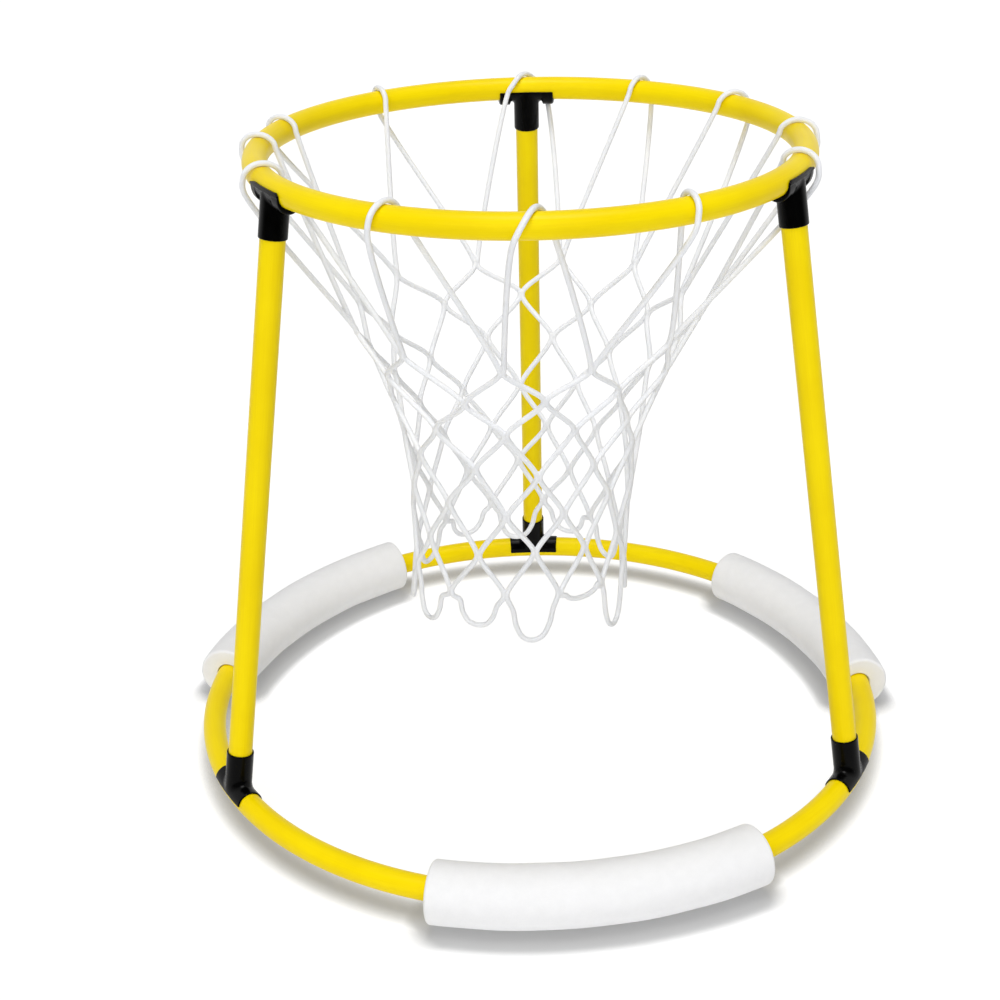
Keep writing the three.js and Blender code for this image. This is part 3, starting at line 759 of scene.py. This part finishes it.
def knot_blob(centre, angle, size):
    """A small rounded body in the middle of a knot: size is (round the net, out of it, down)."""
    rows, columns = 8, 12
    points, faces = [], []
    across = Vector((-math.sin(angle), math.cos(angle), 0))
    outward = Vector((math.cos(angle), math.sin(angle), 0))
    for i in range(1, rows):
        tilt = math.pi * i / rows
        for j in range(columns):
            turn = 2 * math.pi * j / columns
            points.append(centre + across * (size[0] * math.sin(tilt) * math.cos(turn))
                          + outward * (size[1] * math.sin(tilt) * math.sin(turn))
                          + Vector((0, 0, size[2] * math.cos(tilt))))
    for i in range(rows - 2):
        for j in range(columns):
            k = (j + 1) % columns
            faces.append((i * columns + j, i * columns + k, (i + 1) * columns + k, (i + 1) * columns + j))
    top, bottom = len(points), len(points) + 1
    points += [centre + Vector((0, 0, size[2])), centre - Vector((0, 0, size[2]))]
    for j in range(columns):
        k = (j + 1) % columns
        faces.append((top, k, j))
        faces.append((bottom, (rows - 2) * columns + j, (rows - 2) * columns + k))
    return np.array(points), faces


def build_net():
    """All twelve cord columns, grown together at their knots."""
    routes, knots = [], []
    for k in range(LOOPS):
        outline = [*rim_loop(k)[::-1], *column_side(k, -1), *hem_loop(k), *column_side(k, 1)[::-1]]
        routes.append(smooth_route(outline))
    for row in range(len(ROW_DEPTHS)):
        for column in range(LOOPS):
            angle, depth = knot(row, column)
            knots.append((net_point(angle, depth), angle))
    points, faces, start = [], [], 0
    parts = [tube_round(route, CORD_RADIUS) for route in routes]
    parts += [knot_blob(centre, angle, KNOT_SIZE) for centre, angle in knots]
    for part_points, part_faces in parts:
        points.append(part_points)
        faces += [tuple(i + start for i in face) for face in part_faces]
        start += len(part_points)
    net = add_mesh("net", np.concatenate(points), faces)
    remesh = net.modifiers.new("remesh", "REMESH")
    remesh.mode = "VOXEL"
    remesh.voxel_size = NET_VOXEL
    soften = net.modifiers.new("soften", "SMOOTH")
    soften.factor = NET_SOFTENING
    soften.iterations = NET_SOFTEN_ROUNDS
    bpy.context.view_layer.update()
    evaluated = net.evaluated_get(bpy.context.evaluated_depsgraph_get())
    final = bpy.data.meshes.new_from_object(evaluated)
    net.modifiers.clear()
    net.data = final
    final.name = "net"
    finish_cords(final, routes, [centre for centre, _ in knots])
    return net


def finish_cords(mesh, routes, knots):
    """Rounds each cord off to its own radius away from the knots, and notes where its braid runs."""
    centres, tangents, normals, sides, lengths = [], [], [], [], []
    for route in routes:
        tangent, normal, side = route_frames(route)
        step = np.linalg.norm(np.roll(route, -1, 0) - route, axis=1)
        centres.append(route)
        tangents.append(tangent)
        normals.append(normal)
        sides.append(side)
        lengths.append(np.concatenate([[0], np.cumsum(step)[:-1]]))
    centre, tangent, normal, side = map(np.concatenate, (centres, tangents, normals, sides))
    length = np.concatenate(lengths)
    tree = nearest_tree(centre)
    knot_tree = nearest_tree(knots)
    co = np.zeros(len(mesh.vertices) * 3)
    mesh.vertices.foreach_get("co", co)
    co = co.reshape(-1, 3)
    near = np.array([tree.find(point)[1] for point in co])
    knot_distance = np.array([knot_tree.find(point)[2] for point in co])
    offset = co - centre[near]
    slide = (offset * tangent[near]).sum(-1)[:, None]
    offset = offset - slide * tangent[near]
    distance = np.linalg.norm(offset, axis=1)[:, None]
    distance = np.maximum(distance, TINY)
    share = smooth_step(knot_distance, KNOT_REACH - KNOT_BLEND, KNOT_REACH)[:, None]
    co += share * offset / distance * (CORD_RADIUS - distance)
    mesh.vertices.foreach_set("co", co.ravel())
    cos = (offset * normal[near]).sum(-1) / distance[:, 0]
    sin = (offset * side[near]).sum(-1) / distance[:, 0]
    data = mesh.attributes.new("sweep", "FLOAT_VECTOR", "POINT")
    sweep = np.stack([cos, sin, length[near] + slide[:, 0]], -1)
    data.data.foreach_set("vector", sweep.astype(np.float32).ravel())
    mesh.polygons.foreach_set("use_smooth", np.ones(len(mesh.polygons), bool))
    mesh.update()


def nearest_tree(points):
    tree = kdtree.KDTree(len(points))
    for i, point in enumerate(points):
        tree.insert(point, i)
    tree.balance()
    return tree


# Stage: a white floor and surround, which reflections find dark towards the front

class RayParts:
    """Which kind of ray sees the stage, as sockets of a material or world tree."""

    def __init__(self, n, y, front):
        front_share = n.spread(y, *front, FRONT_SHARE, 1.0)
        path = n.add("ShaderNodeLightPath").outputs
        self.direct = n.math("MAXIMUM", path["Is Camera Ray"], path["Is Transmission Ray"])
        self.glossy = n.math("MULTIPLY", path["Is Glossy Ray"], front_share)
        self.diffuse = n.math("SUBTRACT", 1.0, n.math("MAXIMUM", self.direct, path["Is Glossy Ray"]))
        self.seen = n.math("ADD", self.direct, self.glossy)


def build_stage():
    floor_mesh = bpy.data.meshes.new("floor")
    corners = [(x * FLOOR_REACH, y * FLOOR_REACH, 0) for x, y in ((-1, -1), (1, -1), (1, 1), (-1, 1))]
    floor_mesh.from_pydata(corners, [], [(0, 1, 2, 3)])
    floor = bpy.data.objects.new("floor", floor_mesh)
    floor.location.z = -FLOOR_DROP
    bpy.context.scene.collection.objects.link(floor)
    n = Nodes("floor_paint")
    y = n.add("ShaderNodeSeparateXYZ", Vector=n.place()).outputs["Y"]
    rays = RayParts(n, y, FLOOR_FRONT)
    open_sky = n.add("ShaderNodeAmbientOcclusion", {"samples": SHADE_SAMPLES}, Distance=SHADE_REACH)
    shade = n.spread(open_sky.outputs["AO"], SHADE_CLOSED, SHADE_OPEN, SHADE_DARKEST, 1.0)
    glow = n.math("MULTIPLY", n.math("MULTIPLY", rays.seen, shade), FLOOR_GLOW)
    paint = n.math("MULTIPLY_ADD", rays.seen, FLOOR_PAINT, n.math("MULTIPLY", rays.diffuse, BOUNCE_PAINT))
    color = n.add("ShaderNodeCombineColor", Red=paint, Green=paint, Blue=paint).outputs["Color"]
    n.surface(Base_Color=color, Roughness=1.0, Specular_IOR_Level=0.0, Emission_Color=WHITE,
              Emission_Strength=glow)
    floor_mesh.materials.append(n.material)


def build_world():
    world = bpy.data.worlds.new("studio")
    bpy.context.scene.world = world
    world.use_nodes = True
    n = Nodes.of_tree(world.node_tree)
    toward = n.add("ShaderNodeTexCoord").outputs["Generated"]
    y = n.add("ShaderNodeSeparateXYZ", Vector=toward).outputs["Y"]
    rays = RayParts(n, y, WORLD_FRONT)
    sky = world.node_tree.nodes["Background"]
    n.put(sky.inputs["Color"], WHITE)
    n.put(sky.inputs["Strength"], n.math("MULTIPLY_ADD", rays.diffuse, WORLD_LIGHT, rays.seen))


def add_lamp(name, direction, spread, power, mirrored):
    """A far, soft lamp: it lights the whole floor evenly from the direction given."""
    data = bpy.data.lights.new(name, "SUN")
    data.angle = math.radians(spread)
    data.energy = power
    lamp = bpy.data.objects.new(name, data)
    lamp.visible_glossy = mirrored
    lamp.location = Vector(direction) * LAMP_DISTANCE
    lamp.rotation_euler = (-Vector(direction)).to_track_quat("-Z", "Y").to_euler()
    bpy.context.scene.collection.objects.link(lamp)


# Assembly

bpy.context.scene.view_settings.view_transform = "Standard"
make_camera()
build_stage()
build_world()
add_lamp("overhead_lamp", (0.02, -0.1, 1.0), spread=30, power=1.6, mirrored=True)
add_lamp("front_lamp", (-0.15, -1.0, 0.4), spread=60, power=1.4, mirrored=False)

yellow, black, foam, cord = yellow_plastic(), black_plastic(), white_foam(), white_cord()

rim = ring_tube("rim_tube_skin", RIM_RADIUS, RIM_LEVEL)
dress(rim, "frame", yellow, "yellow_tube", "rim_tube")
base_ring = ring_tube("base_ring_skin", BASE_RADIUS, BASE_LEVEL)
dress(base_ring, "frame", yellow, "yellow_tube", "base_ring_tube")
for place, angle in LEG_ANGLES.items():
    dress(leg_tube(f"leg_{place}_skin", angle), "frame", yellow, "yellow_tube", f"leg_{place}")

base_shape = tee_mesh(BASE_RADIUS, -1, BASE_SOCKET, lobe=0, raised_side=0, fillet=BASE_FILLET)
for place, raised_side in (("back", 0), ("left", -1), ("right", 1)):
    shape = tee_mesh(RIM_RADIUS, 1, RIM_SOCKET, lobe=LOBE_DROP, raised_side=raised_side, fillet=RIM_FILLET)
    tee = place_tee(f"rim_tee_{place}_moulding", shape, LEG_ANGLES[place], RIM_LEVEL)
    dress(tee, "frame", black, "black_fitting", f"rim_tee_{place}")
    tee = place_tee(f"base_tee_{place}_moulding", base_shape, LEG_ANGLES[place], BASE_LEVEL)
    dress(tee, "frame", black, "black_fitting", f"base_tee_{place}")

for node in ("rim_joint_plug", "base_joint_plug"):
    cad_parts[node].data.materials.clear()
    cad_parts[node].data.materials.append(black)

for place, angle in FLOAT_ANGLES.items():
    piece = float_sleeve(f"float_{place}_foam", FLOAT_LENGTHS[place], angle)
    dress(piece, f"{place}_float", foam, "white_foam", f"float_{place}")

net = build_net()
dress(net, "frame", cord, "white_cord", *[f"net_cord_{k + 1:02d}" for k in range(LOOPS)])
